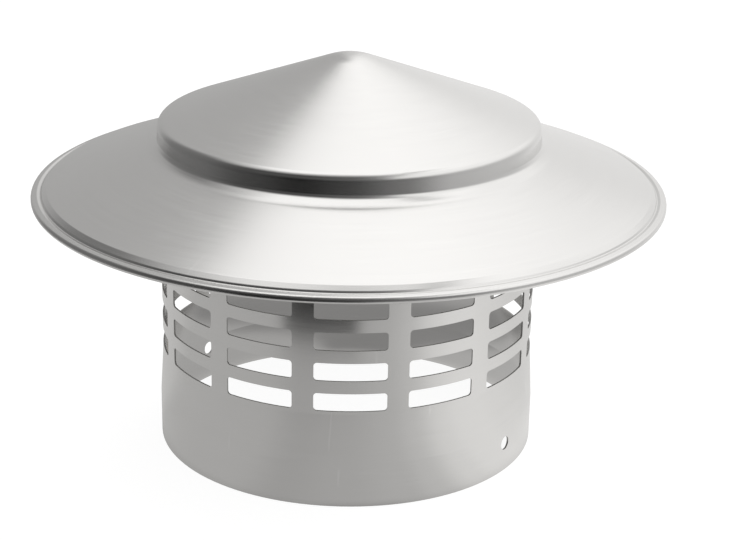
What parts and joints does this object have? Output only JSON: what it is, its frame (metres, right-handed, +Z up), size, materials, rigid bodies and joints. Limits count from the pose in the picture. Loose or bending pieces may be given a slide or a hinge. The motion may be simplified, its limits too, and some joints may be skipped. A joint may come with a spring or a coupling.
{
  "type": "mushroom roof vent",
  "caption": "Stainless mushroom roof vent: a conical rain cap with a wide brim and rolled rim, spot welded to a slotted round collar that slips over a pipe end.",
  "frame": {"origin": "centre of the collar's bottom rim, on the plane that the vent stands on", "axes": "+Z up along the collar's axis to the tip of the cap, -Y towards the front with the clearer screw hole to its right, +X to the right seen from the front"},
  "size_m": [0.183, 0.183, 0.1152],
  "materials": {
    "cap_steel": "fine satin, spun",
    "collar_steel": "cold rolled satin"
  },
  "bodies": {
    "root": {"cap": "cap_steel", "collar": "collar_steel"}
  },
  "joints": []
}
